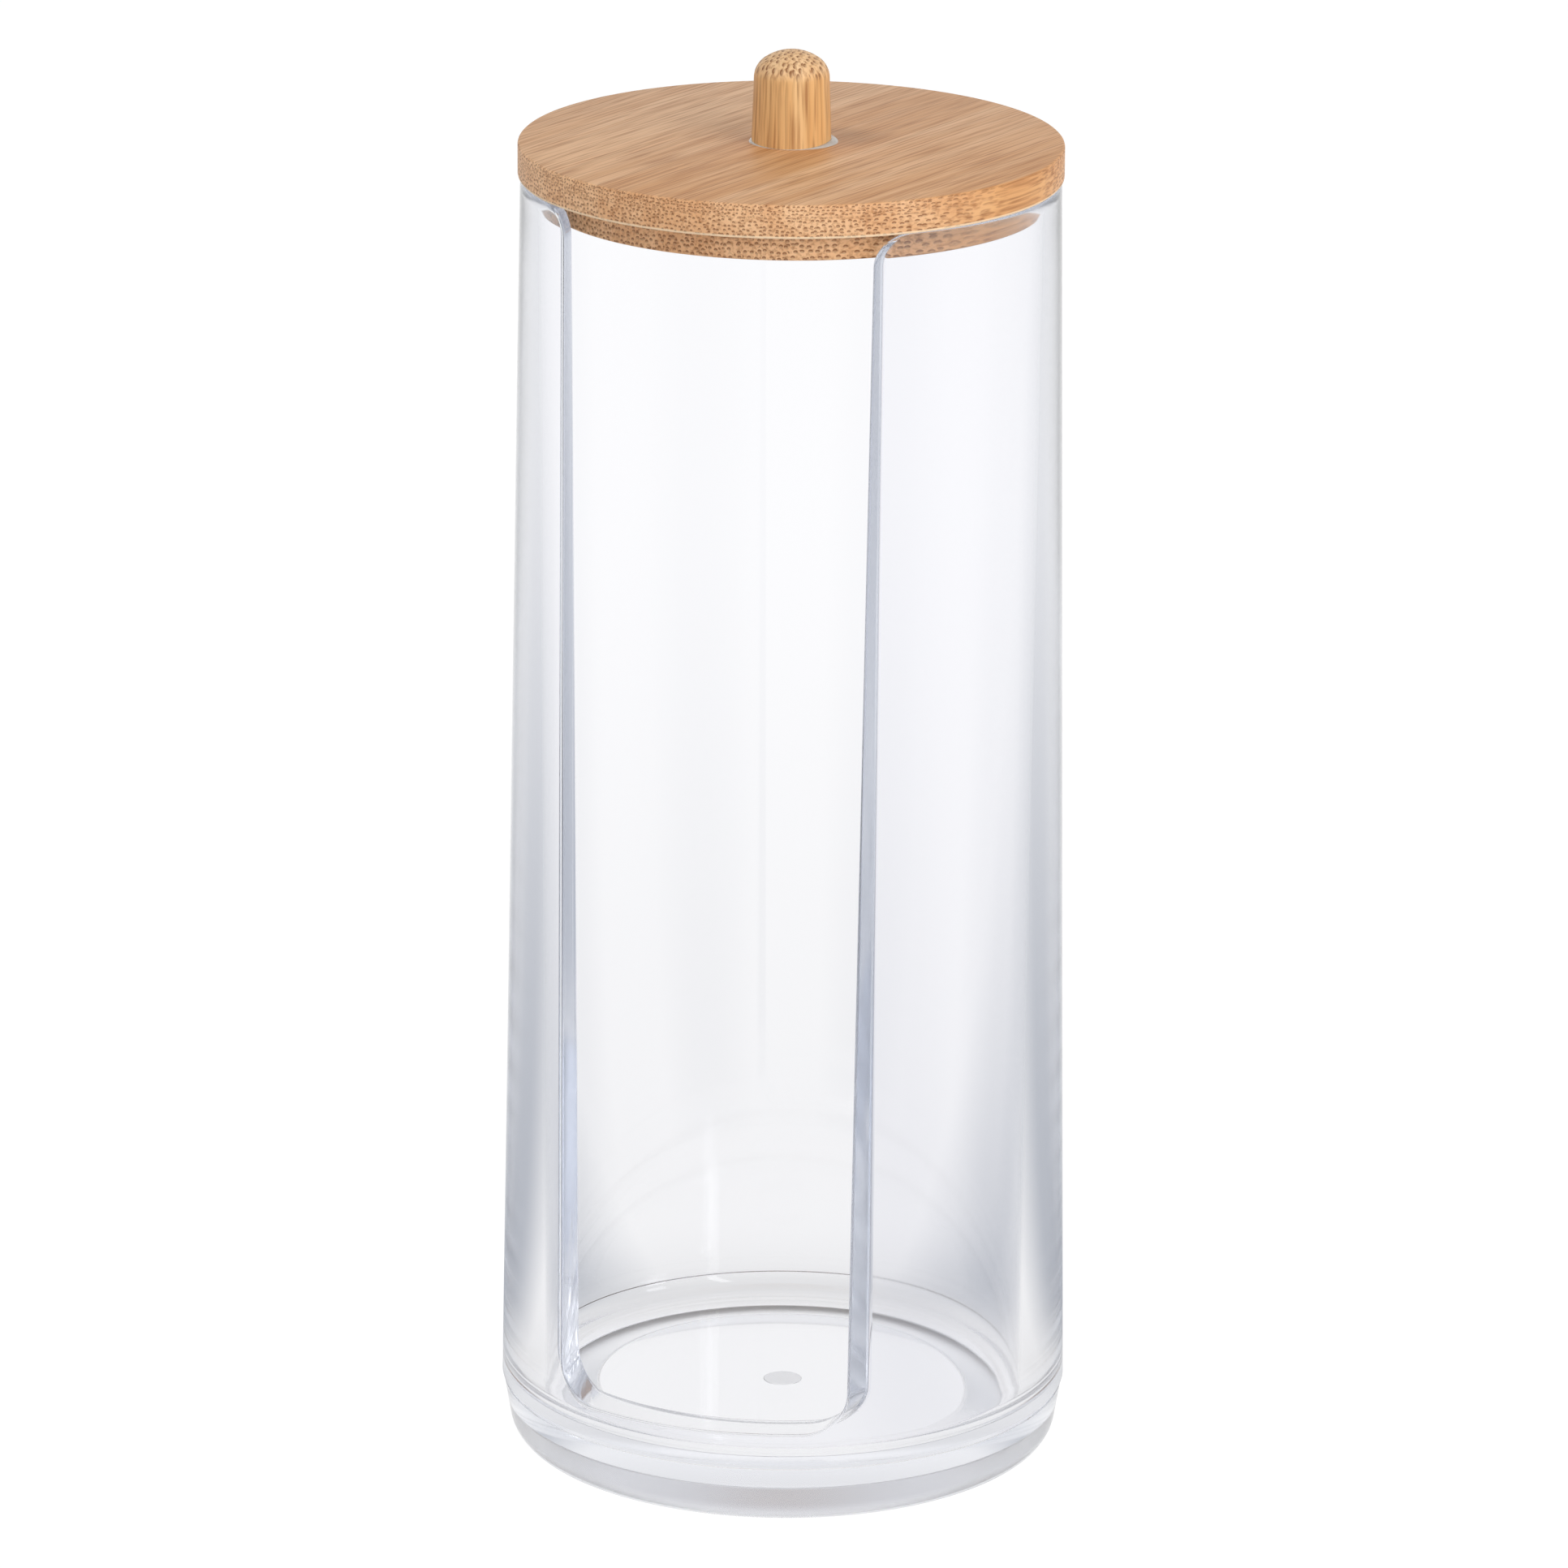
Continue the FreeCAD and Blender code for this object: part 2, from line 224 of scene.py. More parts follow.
# %% Throw the cup
UNDER_SILL = 12.2
FOOT_RADIUS = 35.7
FOOT_ROUND = 3.6
FOOT_HALF_ANGLE = 40.3
FLOOR_ROUND = 2.9
RECESS_MOUTH = 30.3
RECESS_BORE = 24.6
RECESS_DEPTH = 3.5
GATE_RADIUS = 2.55
GATE_DEPTH = 0.2
GATE_TAPER = 0.1
FLOOR_RING = 20.0
PARTING_GROOVE = [(37.03, 8.1), (36.9, 8.2), (36.95, 8.65)]

wall_rows = [UNDER_SILL, SILL] + [height for across, height in edge_line]
cup_rings = [(GATE_RADIUS - GATE_TAPER, RECESS_DEPTH + GATE_DEPTH), (GATE_RADIUS, RECESS_DEPTH)]
cup_rings += [(RECESS_BORE, RECESS_DEPTH), (RECESS_MOUTH, 0.0), (FOOT_RADIUS, 0.0)]
cup_rings += PARTING_GROOVE + [(SEAM_RADIUS, SEAM)]
cup_rings += [(outside(height), height) for height in wall_rows]
cup_rings += [(outside(RIM), RIM), (inside(RIM), RIM)]
cup_rings += [(inside(height), height) for height in reversed(wall_rows)]
cup_rings += [(inside(FLOOR), FLOOR), (FLOOR_RING, FLOOR)]
tube = throw_rings("clear_tube", COLUMNS, cup_rings)
foot_width = FOOT_ROUND * math.tan(math.radians(FOOT_HALF_ANGLE))
round_rings((
    (FOOT_RADIUS, 0.0, foot_width, 7),
    (inside(FLOOR), FLOOR, FLOOR_ROUND, 10),
    (RECESS_MOUTH, 0.0, 0.2, 3),
    (RECESS_BORE, RECESS_DEPTH, 0.3, 3)))
print("cup:", len(bmesh.from_edit_mesh(tube.data).faces), "faces")

# %% [markdown]
# ## The clear tube: its slot
# The slot is open at the rim, narrows a little downwards, and ends in a sill with round corners.
# A boolean would cut it in one step, but it leaves slivers, and slivers show as cracks in clear
# plastic. So the front faces are deleted, the two open edges are bridged through the wall, and
# the columns beside the gap slide sideways until they follow the outline. A bevel then rounds
# the rim and the slot in one go.

# %% Open the slot and bridge its walls
def column_of(point):
    """Which column a point is on, counted both ways from the front."""
    return abs(round(math.atan2(point.x, -point.y) * COLUMNS / (2 * math.pi)))


def in_slot(face):
    """Faces of the wall and the rim between the slot's two sides."""
    return all(column_of(v.co) <= SLOT_COLUMN and v.co.z / MM > SILL - 0.1 for v in face.verts)


def is_open_edge(edge):
    """Open edges of the outer and of the inner wall, without those across the rim."""
    first, second = edge.verts
    return edge.is_boundary and abs(reach_of(first.co) - reach_of(second.co)) < 0.5


opened = choose("FACE", in_slot)
bpy.ops.mesh.delete(type="FACE")
bridged = choose("EDGE", is_open_edge)
bpy.ops.mesh.bridge_edge_loops()
print("slot:", opened, "faces opened,", bridged, "edges bridged")

# %% Slide the columns to the outline
all_rows = wall_rows + [RIM]
outline_at = dict(zip(range(2, len(wall_rows)), edge_line))


def edge_at(row, column):
    """The outline's (across, height) for a point of the mesh, and the column that meets it there."""
    if row <= 1 and column <= SLOT_COLUMN:
        step = max(0, column - SLOT_COLUMN + SILL_STEPS)
        return sill_arc[step], max(column, SLOT_COLUMN - SILL_STEPS)
    if row <= 1:
        return sill_arc[SILL_STEPS], SLOT_COLUMN
    if all_rows[row] == RIM:
        step = min(MOUTH_STEPS, column - SLOT_COLUMN)
        return mouth_arc[MOUTH_STEPS + step], SLOT_COLUMN + step
    return outline_at[row], SLOT_COLUMN


def slide(point):
    """Where a point of the wall goes: on the slot's edge, or spread evenly round to the back."""
    height = point.z / MM
    row = min(range(len(all_rows)), key=lambda r: abs(all_rows[r] - height))
    outer = reach_of(point) > (outside(height) + inside(height)) / 2
    side = -1 if point.x < 0 else 1
    column = column_of(point)
    (across, up), anchor = edge_at(row, column)
    if row == 0:
        up = UNDER_SILL
    radius = outside(up) if outer else inside(up)
    start = math.asin(across / radius)
    if column <= anchor:
        angle = start * column / anchor
    else:
        angle = start + (math.pi - start) * (column - anchor) / (COLUMNS / 2 - anchor)
    return side * radius * math.sin(angle) * MM, -radius * math.cos(angle) * MM, up * MM


shape = bmesh.from_edit_mesh(tube.data)
movable = [corner for corner in shape.verts if corner.co.z / MM > UNDER_SILL - 0.4]
for corner in movable:
    corner.co = slide(corner.co)
bmesh.update_edit_mesh(tube.data)
print("slid", len(movable), "points of the wall")

# %% Round the rim and the slot
WALL_ROUND = 0.5
SHARP = math.radians(40)


def is_wall_edge(edge):
    """Sharp edges of the rim, the slot and the sill."""
    above = all(v.co.z / MM > UNDER_SILL - 0.2 for v in edge.verts)
    return above and edge.calc_face_angle(0) > SHARP


face_outwards()
rounded = choose("EDGE", is_wall_edge)
bpy.ops.mesh.bevel(offset=WALL_ROUND * MM, segments=4, profile=0.5)
face_outwards()
print("rim and slot:", rounded, "edges rounded")

# %% [markdown]
# ## The clear tube: how far it was polished
# A mould is polished where the eye goes and less so elsewhere. The gate mark is rough, the slope
# under the floor is satin, and the cut faces of the slot and the ring that the holder stands on are
# a little duller than the wall. Separate material slots could say that. One number on each face
# does it with a single material, which reads the number as its roughness.

# %% Tests for the duller faces
def is_any(face):
    """Every face."""
    return True


def is_gate(face):
    """The gate mark and its low wall."""
    return all(reach_of(v.co) < GATE_RADIUS + 0.05 and v.co.z / MM < 4 for v in face.verts)


def is_underside(face):
    """The ring that stands on the table, and the slope of the recess with its rounds."""
    in_recess = all(
        GATE_RADIUS + 0.05 < reach_of(v.co) < RECESS_MOUTH + 0.3 and v.co.z / MM < RECESS_DEPTH + 0.02
        for v in face.verts)
    return in_recess or all(v.co.z / MM < 0.05 for v in face.verts)


def is_slope(face):
    """The slope alone, which is duller still."""
    middle = face.calc_center_median()
    beside = RECESS_BORE - 0.3 < reach_of(middle) < RECESS_MOUTH + 0.3
    return beside and 0.05 < middle.z / MM < RECESS_DEPTH - 0.01


def is_cut(face):
    """The faces of the slot that go through the wall."""
    middle = face.calc_center_median()
    height = middle.z / MM
    in_wall = inside(height) + 0.1 < reach_of(middle) < outside(height) - 0.1
    return height > SILL - 0.6 and middle.y < 0 and in_wall


# %% Mark the faces and finish the tube
FINISHES = ((is_any, 0.025), (is_gate, 0.45), (is_underside, 0.125), (is_slope, 0.27), (is_cut, 0.075))

bpy.ops.geometry.attribute_add(name="satin", domain="FACE", data_type="FLOAT")
for test, satin in FINISHES:
    marked = choose("FACE", test)
    bpy.ops.mesh.attribute_set(value_float=satin)
    print(test.__name__, marked, "faces, roughness from", satin)
smooth()
bpy.ops.object.modifier_add(type="WEIGHTED_NORMAL")
tube.modifiers[-1].keep_sharp = True
bpy.ops.object.modifier_apply(modifier=tube.modifiers[-1].name)
print("tube:", len(tube.data.polygons), "faces")

# %% [markdown]
# ## The bamboo lid
# The lid is one bamboo board turned on a lathe: a disc that rests on the rim, with a step under it
# that drops into the bore, and a blind hole for the knob. A cylinder gives the disc. Its lower
# face is inset and pushed down for the step, its upper face inset and pushed in for the hole, and
# a fine bevel stands for the sanded edges. Throwing it ring by ring would do too, but inset and
# extrude are how one would do it by hand.

# %% Turn the lid
LID_TOP = 175.6
LID_RADIUS = 35.0
LID_DEPTH = 4.4
STEP_RADIUS = 32.0
STEP_DEPTH = 3.5
HOLE_RADIUS = 5.2
HOLE_DEPTH = 5.0
SANDED = 0.35

bpy.ops.object.select_all(action="DESELECT")
bpy.ops.mesh.primitive_cylinder_add(
    vertices=240, radius=LID_RADIUS * MM, depth=LID_DEPTH * MM,
    location=(0, 0, (LID_TOP - LID_DEPTH / 2) * MM))
bpy.ops.object.transform_apply(location=True)
lid = bpy.context.object
lid.name = "bamboo_lid"
bpy.ops.object.mode_set(mode="EDIT")
choose("FACE", lambda face: face.normal.z < -0.9)
bpy.ops.mesh.inset(thickness=(LID_RADIUS - STEP_RADIUS) * MM)
bpy.ops.mesh.extrude_region_move(TRANSFORM_OT_translate={"value": (0, 0, -STEP_DEPTH * MM)})
choose("FACE", lambda face: face.normal.z > 0.9)
bpy.ops.mesh.inset(thickness=(LID_RADIUS - HOLE_RADIUS) * MM)
bpy.ops.mesh.extrude_region_move(TRANSFORM_OT_translate={"value": (0, 0, -HOLE_DEPTH * MM)})
round_rings((
    (LID_RADIUS, LID_TOP, SANDED, 3),
    (LID_RADIUS, LID_TOP - LID_DEPTH, SANDED, 3),
    (STEP_RADIUS, LID_TOP - LID_DEPTH - STEP_DEPTH, SANDED, 3)))
face_outwards()
smooth()
print("lid:", len(lid.data.polygons), "faces")

# %% [markdown]
# ## The knob
# A short bamboo dowel, its fibres upright, slightly narrower at the top, with a round crown that
# turns into the side over a tighter shoulder. It is thrown ring by ring from its foot in the lid,
# so that the crown and the shoulder are true arcs. A bevelled cylinder would only give the shoulder.

# %% Work out the knob's outline
KNOB_HEIGHT = 11.9
KNOB_FOOT = 5.1
KNOB_TAPER = 0.25
KNOB_CHAMFER = 0.4
CROWN = 6.2
SHOULDER = 3.0
SHOULDER_STEPS = 8
CROWN_STEPS = 7

knob_top = LID_TOP + KNOB_HEIGHT
hole_floor = LID_TOP - HOLE_DEPTH
neck = KNOB_FOOT - KNOB_TAPER
crown_angle = math.asin((neck - SHOULDER) / (CROWN - SHOULDER))
shoulder_height = knob_top - CROWN + (CROWN - SHOULDER) * math.cos(crown_angle)
knob_rings = [(KNOB_FOOT - KNOB_CHAMFER, hole_floor), (KNOB_FOOT, hole_floor + KNOB_CHAMFER)]
knob_rings += [(KNOB_FOOT, LID_TOP - 0.5), (KNOB_FOOT, LID_TOP + 0.5)]
for part in (0.25, 0.5, 0.75):
    knob_rings.append((KNOB_FOOT - KNOB_TAPER * part, LID_TOP + (shoulder_height - LID_TOP) * part))
for step in range(SHOULDER_STEPS + 1):
    angle = (math.pi / 2 - crown_angle) * step / SHOULDER_STEPS
    out = neck - SHOULDER + SHOULDER * math.cos(angle)
    knob_rings.append((out, shoulder_height + SHOULDER * math.sin(angle)))
for step in range(1, CROWN_STEPS):
    angle = crown_angle * (1 - step / CROWN_STEPS)
    knob_rings.append((CROWN * math.sin(angle), knob_top - CROWN + CROWN * math.cos(angle)))
print("knob outline:", len(knob_rings), "rings, shoulder", round(shoulder_height - LID_TOP, 2), "mm up")

# %% Turn the knob
knob = throw_rings("bamboo_knob", 96, knob_rings)
face_outwards()
smooth()
print("knob:", len(knob.data.polygons), "faces")

# %% [markdown]
# ## The glue
# A thin ring of cured glue squeezed out round the foot of the knob. It is wider on the right than
# on the left and nearly wiped away in front. A torus is flattened and pulled about, vertex by
# vertex, because no operator makes such an uneven bead.

# %% Lay the bead of glue
BEAD_REACH = 1.0
BEAD_INNER = 5.0
BEAD_HEIGHT = 0.43


def bead_width(around):
    """How wide the bead is at an angle round the knob, as a share of its widest."""
    from_right = around - turn
    right = max(0.0, math.cos(from_right)) ** 2
    left = max(0.0, -math.cos(from_right)) ** 4
    ripple = 0.02 * math.sin(5 * around + 1) + 0.02 * math.sin(9 * around)
    return 0.06 + 0.82 * right + 0.3 * left + ripple


bpy.ops.object.select_all(action="DESELECT")
bpy.ops.mesh.primitive_torus_add(
    major_segments=96, minor_segments=16, major_radius=KNOB_FOOT * MM, minor_radius=BEAD_REACH * MM,
    location=(0, 0, 0))
bead = bpy.context.object
bead.name = "glue_ring"
bpy.ops.object.mode_set(mode="EDIT")
shape = bmesh.from_edit_mesh(bead.data)
for corner in shape.verts:
    around = math.atan2(corner.co.y, corner.co.x)
    width = bead_width(around)
    radius = max(BEAD_INNER, KNOB_FOOT + (reach_of(corner.co) - KNOB_FOOT) * width)
    lift = max(0.0, corner.co.z / MM * BEAD_HEIGHT * min(1.0, 1.2 * width))
    corner.co = (radius * math.cos(around) * MM, radius * math.sin(around) * MM, (LID_TOP + lift) * MM)
bmesh.update_edit_mesh(bead.data)
bpy.ops.mesh.select_all(action="SELECT")
bpy.ops.mesh.remove_doubles(threshold=0.002 * MM)
face_outwards()
smooth(60)
print("glue:", len(bead.data.polygons), "faces")

# %% [markdown]
# ## Materials: the helpers
# A material is a small graph of nodes. One helper turns an sRGB hex colour, as read from a swatch,
# into the linear colour that the shader wants. Another adds any node with its settings and links.
# Patterns read Object coordinates, so a scale of 1 / (2 * MM) repeats every 2 mm of the real thing.

# %% Helpers for colours and nodes
def swatch(code):
    """Linear RGBA of an sRGB hex colour."""
    parts = [int(code[i:i + 2], 16) / 255 for i in (1, 3, 5)]
    linear = [p / 12.92 if p <= 0.04045 else ((p + 0.055) / 1.055) ** 2.4 for p in parts]
    return (*linear, 1.0)


def add_node(tree, kind, inputs=None, **settings):
    """Add a node, set its properties, and fill its inputs with values or links."""
    node = tree.nodes.new(kind)
    for name, setting in settings.items():
        setattr(node, name, setting)
    for name, source in (inputs or {}).items():
        if isinstance(source, bpy.types.NodeSocket):
            tree.links.new(source, node.inputs[name])
        else:
            node.inputs[name].default_value = source
    return node


def new_material(name):
    """A material with no nodes yet, and its tree."""
    material = bpy.data.materials.new(name)
    material.use_nodes = True
    material.node_tree.nodes.clear()
    return material, material.node_tree


# %% [markdown]
# ## Clear polystyrene
# Crystal polystyrene, moulded in a polished tool: index 1.59, so it is brighter at its edges than
# window glass. A trace of blue in the resin hides its yellow. It only shows where light has gone a
# long way through the wall, so it is an absorption inside and not a colour on the surface. The
# roughness is the number on each face plus a slow drift along the flow of the plastic, and the
# gate mark, by far the roughest, also turns a little white.

# %% Make the clear polystyrene
FLOW_WIDTH = 14
FLOW_STRETCH = 0.35
POLISH_DRIFT = 0.03

polystyrene, tree = new_material("clear_polystyrene")
place = add_node(tree, "ShaderNodeTexCoord")
flow = add_node(tree, "ShaderNodeMapping", {
    "Vector": place.outputs["Object"], "Scale": (1, 1, FLOW_STRETCH)})
waves = add_node(tree, "ShaderNodeTexNoise", {
    "Vector": flow.outputs[0], "Scale": 1 / (FLOW_WIDTH * MM), "Detail": 1.0})
satin = add_node(tree, "ShaderNodeAttribute", attribute_name="satin")
polish = add_node(tree, "ShaderNodeMath", {
    0: waves.outputs["Fac"], 1: POLISH_DRIFT, 2: satin.outputs["Fac"]}, operation="MULTIPLY_ADD")
frost = add_node(tree, "ShaderNodeMapRange", {
    "Value": satin.outputs["Fac"], "From Min": 0.3, "From Max": 0.4, "To Min": 1.0, "To Max": 0.6})
skin = add_node(tree, "ShaderNodeBsdfPrincipled", {
    "Base Color": swatch("#FDFDFF"), "Roughness": polish.outputs[0], "IOR": 1.59,
    "Transmission Weight": frost.outputs[0]})
tint = add_node(tree, "ShaderNodeVolumeAbsorption", {"Color": swatch("#DDE4F2"), "Density": 3.0})
add_node(tree, "ShaderNodeOutputMaterial", {"Surface": skin.outputs[0], "Volume": tint.outputs[0]})
tube.data.materials.append(polystyrene)
print("clear polystyrene:", len(tree.nodes), "nodes")

# %% [markdown]
# ## Bamboo
# A board of bamboo is pale soft tissue with dark fibre bundles running through it, sawn, turned
# and sanded to a satin. Along the grain the bundles are streaks, and on the end grain dots. Each dot
# gets painted shade on its upper side and a painted highlight on a pale lip under it. The bundles
# stand closer together towards the outside of the cane. A drawn texture would need one picture for
# each side. So the pattern is solid: long cells that run through the whole piece, cut by whichever
# surface shows. The lid is glued up from strips of slightly different tone, and a painted highlight
# runs along the lower edge of its rim.

# %% Draw the fibre bundles
def add_fibres(tree, place, spacing):
    """Fibre bundles along X, a set distance apart in mm: how dark each point is, with painted shade on the
    upper side of each bundle, and how much painted highlight its lower lip gets.
    """
    pitch = 1 / (spacing * MM)
    cells = add_node(tree, "ShaderNodeTexVoronoi", {"Vector": place, "Scale": pitch, "Randomness": 0.62})
    offset = add_node(tree, "ShaderNodeVectorMath", {
        0: place, 1: cells.outputs["Position"]}, operation="SUBTRACT")
    across = add_node(tree, "ShaderNodeVectorMath", {
        0: offset.outputs[0], 1: (0, pitch, pitch)}, operation="MULTIPLY")
    reach = add_node(tree, "ShaderNodeVectorMath", {0: across.outputs[0]}, operation="LENGTH")
    split = add_node(tree, "ShaderNodeSeparateXYZ", {0: across.outputs[0]})
    bundle = add_node(tree, "ShaderNodeMapRange", {
        "Value": reach.outputs["Value"], "From Min": 0.24, "From Max": 0.34, "To Min": 1.0, "To Max": 0.0})
    core = add_node(tree, "ShaderNodeMapRange", {
        "Value": reach.outputs["Value"], "From Min": 0.03, "From Max": 0.18, "To Min": 0.3, "To Max": 0.0})
    # Painted shade: each bundle is darker on its upper side. Painted highlight: its lower side is pale.
    upper_shade = add_node(tree, "ShaderNodeMapRange", {
        "Value": split.outputs["Z"], "From Min": -0.34, "From Max": 0.05, "To Min": 0.15, "To Max": 1.0})
    lower_lit = add_node(tree, "ShaderNodeMath", {0: 1.0, 1: upper_shade.outputs[0]}, operation="SUBTRACT")
    wall = add_node(tree, "ShaderNodeMath", {
        0: bundle.outputs[0], 1: core.outputs[0]}, operation="SUBTRACT")
    dark_with_shade = add_node(tree, "ShaderNodeMath", {0: wall.outputs[0], 1: upper_shade.outputs[0]}, operation="MULTIPLY")
    lip_light = add_node(tree, "ShaderNodeMath", {
        0: bundle.outputs[0], 1: lower_lit.outputs[0]}, operation="MULTIPLY")
    return dark_with_shade.outputs[0], lip_light.outputs[0]


# %% Lay the grain
SWAY_LENGTH = 9
SWAY = 0.4
ZONE_DRIFT = 1.2
ZONE_BLUR = 0.5


def lay_grain(tree, grain):
    """Sockets with the coordinates of a piece whose fibres lie along X once the grain is undone."""
    place = add_node(tree, "ShaderNodeTexCoord")
    along = add_node(tree, "ShaderNodeMapping", {"Vector": place.outputs["Object"], "Rotation": grain})
    sway = add_node(tree, "ShaderNodeTexNoise", {
        "Vector": along.outputs[0], "Scale": 1 / (SWAY_LENGTH * MM), "Detail": 2.0})
    drawn = add_node(tree, "ShaderNodeVectorMath", {
        0: along.outputs[0], 1: (0.03, 1, 1)}, operation="MULTIPLY")
    drift = add_node(tree, "ShaderNodeVectorMath", {
        0: sway.outputs["Color"], 1: (0, SWAY * MM, SWAY * MM)}, operation="MULTIPLY")
    fibre = add_node(tree, "ShaderNodeVectorMath", {0: drawn.outputs[0], 1: drift.outputs[0]})
    split = add_node(tree, "ShaderNodeSeparateXYZ", {0: along.outputs[0]})
    uneven = add_node(tree, "ShaderNodeMath", {
        0: sway.outputs["Fac"], 1: ZONE_DRIFT * MM, 2: split.outputs["Z"]}, operation="MULTIPLY_ADD")
    facing = add_node(tree, "ShaderNodeMapping", {
        "Vector": place.outputs["Normal"], "Rotation": grain}, vector_type="NORMAL")
    aspect = add_node(tree, "ShaderNodeSeparateXYZ", {0: facing.outputs[0]})
    return {
        "drawn": drawn.outputs[0], "fibre": fibre.outputs[0], "uneven": uneven.outputs[0],
        "across": split.outputs["Y"], "height": split.outputs["Z"],
        "end": aspect.outputs["X"], "level": aspect.outputs["Z"]}


def add_zones(tree, lay, look):
    """Fibre bundles at the look's spacing, with coarser ones below the height of each zone."""
    dark_with_shade, lip_light = add_fibres(tree, lay["fibre"], look["spacing"])
    for height, coarser in look["zones"]:
        coarse_dark_with_shade, coarse_lip_light = add_fibres(tree, lay["fibre"], coarser)
        below = add_node(tree, "ShaderNodeMapRange", {
            "Value": lay["uneven"], "From Min": height * MM, "From Max": (height + ZONE_BLUR) * MM,
            "To Min": 1.0, "To Max": 0.0}).outputs[0]
        dark_with_shade = add_node(tree, "ShaderNodeMix", {"Factor": below, 2: dark_with_shade, 3: coarse_dark_with_shade}).outputs[0]
        lip_light = add_node(tree, "ShaderNodeMix", {"Factor": below, 2: lip_light, 3: coarse_lip_light}).outputs[0]
    return dark_with_shade, lip_light


# %% Tone the ground
BAND_WIDTH = 2.6
STRIP_CONTRAST = 0.35


def add_ground(tree, lay, look):
    """Colour of the soft tissue: by the side of the piece, the strip and fine bands; and end_on."""
    end_on = add_node(tree, "ShaderNodeMath", {0: lay["end"]}, operation="ABSOLUTE")
    end_on = add_node(tree, "ShaderNodeMapRange", {
        "Value": end_on.outputs[0], "From Min": 0.12, "From Max": 0.5}).outputs[0]
    level = add_node(tree, "ShaderNodeMath", {0: lay["level"]}, operation="ABSOLUTE")
    level = add_node(tree, "ShaderNodeMapRange", {
        "Value": level.outputs[0], "From Min": 0.7, "From Max": 0.95}).outputs[0]
    width, shift = look["strip"]
    strip = add_node(tree, "ShaderNodeMath", {
        0: lay["across"], 1: 1 / (width * MM), 2: shift / width}, operation="MULTIPLY_ADD")
    strip = add_node(tree, "ShaderNodeMath", {0: strip.outputs[0]}, operation="FLOOR")
    strip_tone = add_node(tree, "ShaderNodeTexWhiteNoise", {"W": strip.outputs[0]}, noise_dimensions="1D")
    bands = add_node(tree, "ShaderNodeTexNoise", {
        "Vector": lay["drawn"], "Scale": 1 / (BAND_WIDTH * MM), "Detail": 2.0})
    tone = add_node(tree, "ShaderNodeMath", {
        0: strip_tone.outputs["Value"], 1: STRIP_CONTRAST, 2: bands.outputs["Fac"]},
        operation="MULTIPLY_ADD")
    tone = add_node(tree, "ShaderNodeMapRange", {
        "Value": tone.outputs[0], "From Min": 0.45, "From Max": 0.9}).outputs[0]
    shades = {}
    for side in ("sides", "tops", "ends"):
        shades[side] = add_node(tree, "ShaderNodeMix", {
            "Factor": tone, 6: swatch(look[side][0]), 7: swatch(look[side][1])},
            data_type="RGBA").outputs[2]
    ground = add_node(tree, "ShaderNodeMix", {
        "Factor": level, 6: shades["sides"], 7: shades["tops"]}, data_type="RGBA").outputs[2]
    ground = add_node(tree, "ShaderNodeMix", {
        "Factor": end_on, 6: ground, 7: shades["ends"]}, data_type="RGBA").outputs[2]
    return ground, end_on


# %% Put the bamboo together
HAIR_WIDTH = 0.4
PORE_DEPTH = 0.06
# Half width and fade of the painted highlight along the lid's lower edge, in mm.
EDGE_LIGHT_HALF = 0.12
EDGE_LIGHT_FADE = 0.26


def make_bamboo(name, look):
    """Bamboo with streaks, pores with painted shade on their upper side, painted highlights on their lower
    lips and, where the look names its height, a painted highlight along that edge.
    """
    material, tree = new_material(name)
    lay = lay_grain(tree, look["grain"])
    dark_with_shade, lip_light = add_zones(tree, lay, look)
    colour, end_on = add_ground(tree, lay, look)
    hairs = add_node(tree, "ShaderNodeTexNoise", {
        "Vector": lay["drawn"], "Scale": 1 / (HAIR_WIDTH * MM), "Detail": 2.0, "Roughness": 0.5})
    streaks = add_node(tree, "ShaderNodeMapRange", {
        "Value": hairs.outputs["Fac"], "From Min": 0.46, "From Max": 0.72, "To Max": look["streak"]})
    depth = add_node(tree, "ShaderNodeMapRange", {"Value": end_on, "To Min": 0.3, "To Max": 0.92})
    pores_with_shade = add_node(tree, "ShaderNodeMath", {0: dark_with_shade, 1: depth.outputs[0]}, operation="MULTIPLY")
    # Painted highlight on the lower lip of each end-grain pore, in the pale tone below.
    painted_lip_light = add_node(tree, "ShaderNodeMath", {0: lip_light, 1: end_on}, operation="MULTIPLY")
    painted_lip_light = add_node(tree, "ShaderNodeMath", {0: painted_lip_light.outputs[0], 1: 0.5}, operation="MULTIPLY")
    layers = [(streaks, "#9C6436"), (pores_with_shade, "#7E4C24"), (painted_lip_light, "#EBC79C")]
    # Painted highlight: a pale band at the given height, on the lower edge of the lid's rim.
    if look["painted_edge_light"]:
        from_edge = add_node(tree, "ShaderNodeMath", {
            0: lay["height"], 1: look["painted_edge_light"] * MM}, operation="SUBTRACT")
        from_edge = add_node(tree, "ShaderNodeMath", {0: from_edge.outputs[0]}, operation="ABSOLUTE")
        painted_edge_light = add_node(tree, "ShaderNodeMapRange", {
            "Value": from_edge.outputs[0], "From Min": EDGE_LIGHT_HALF * MM, "From Max": EDGE_LIGHT_FADE * MM,
            "To Min": 0.65, "To Max": 0.0})
        layers.append((painted_edge_light, "#FBE3C0"))
    for share, tone in layers:
        colour = add_node(tree, "ShaderNodeMix", {
            "Factor": share.outputs[0], 6: colour, 7: swatch(tone)}, data_type="RGBA").outputs[2]
    relief = add_node(tree, "ShaderNodeBump", {
        "Height": pores_with_shade.outputs[0], "Strength": 0.5, "Distance": PORE_DEPTH * MM}, invert=True)
    satin = add_node(tree, "ShaderNodeMapRange", {
        "Value": hairs.outputs["Fac"], "To Min": 0.42, "To Max": 0.6})
    skin = add_node(tree, "ShaderNodeBsdfPrincipled", {
        "Base Color": colour, "Roughness": satin.outputs[0], "Normal": relief.outputs[0]})
    add_node(tree, "ShaderNodeOutputMaterial", {"Surface": skin.outputs[0]})
    print(name + ":", len(tree.nodes), "nodes")
    return material
